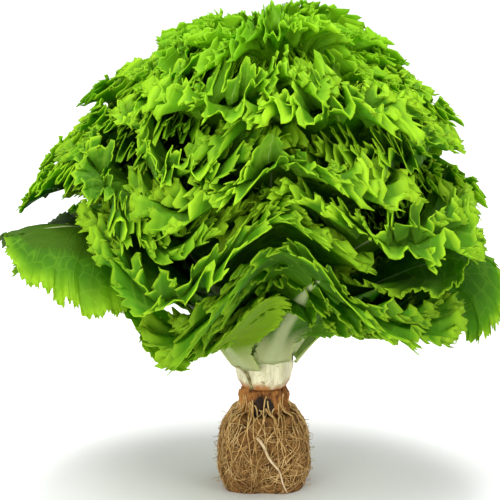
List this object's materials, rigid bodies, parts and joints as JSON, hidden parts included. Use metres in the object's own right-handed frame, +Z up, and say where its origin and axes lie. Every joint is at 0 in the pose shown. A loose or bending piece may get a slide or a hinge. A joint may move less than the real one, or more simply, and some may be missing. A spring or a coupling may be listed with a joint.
{
  "type": "green leaf lettuce",
  "caption": "Whole head of loose, frilled green lettuce on a short pale stem, lifted with its fibrous roots and standing on its block of peat.",
  "frame": {"origin": "the floor under the middle of the root block's flat bottom, on the plant's own axis", "axes": "+Z up along the stem, +X to the right in the picture, +Y away from the camera"},
  "size_m": [0.2961, 0.2745, 0.2856],
  "materials": {
    "leaf": "fresh leaf, satin, bright yellow-green with darker green inside the head",
    "stem": "fresh stem, smooth and pale green-white",
    "peat": "damp peat with roots through it, matte",
    "roots": "fibrous roots, matte tan"
  },
  "bodies": {
    "root": {"root_block": "peat", "roots": "roots", "stem": "stem", "leaf_01": "leaf", "leaf_02": "leaf", "leaf_03": "leaf", "leaf_04": "leaf", "leaf_05": "leaf", "leaf_06": "leaf", "leaf_07": "leaf", "leaf_08": "leaf", "leaf_09": "leaf", "leaf_10": "leaf", "leaf_11": "leaf", "leaf_12": "leaf", "leaf_13": "leaf", "leaf_14": "leaf", "leaf_15": "leaf", "leaf_16": "leaf", "leaf_17": "leaf", "leaf_18": "leaf", "leaf_19": "leaf", "leaf_20": "leaf", "leaf_21": "leaf", "leaf_22": "leaf", "leaf_23": "leaf", "leaf_24": "leaf", "leaf_25": "leaf", "leaf_26": "leaf", "leaf_27": "leaf", "leaf_28": "leaf", "leaf_29": "leaf", "leaf_30": "leaf", "leaf_31": "leaf", "leaf_32": "leaf", "leaf_33": "leaf", "leaf_34": "leaf", "leaf_35": "leaf", "leaf_36": "leaf", "leaf_37": "leaf", "leaf_38": "leaf", "leaf_39": "leaf", "leaf_40": "leaf", "leaf_41": "leaf", "leaf_42": "leaf", "leaf_43": "leaf", "leaf_44": "leaf", "leaf_45": "leaf", "leaf_46": "leaf", "leaf_47": "leaf", "leaf_48": "leaf", "leaf_49": "leaf", "leaf_50": "leaf"}
  },
  "joints": []
}
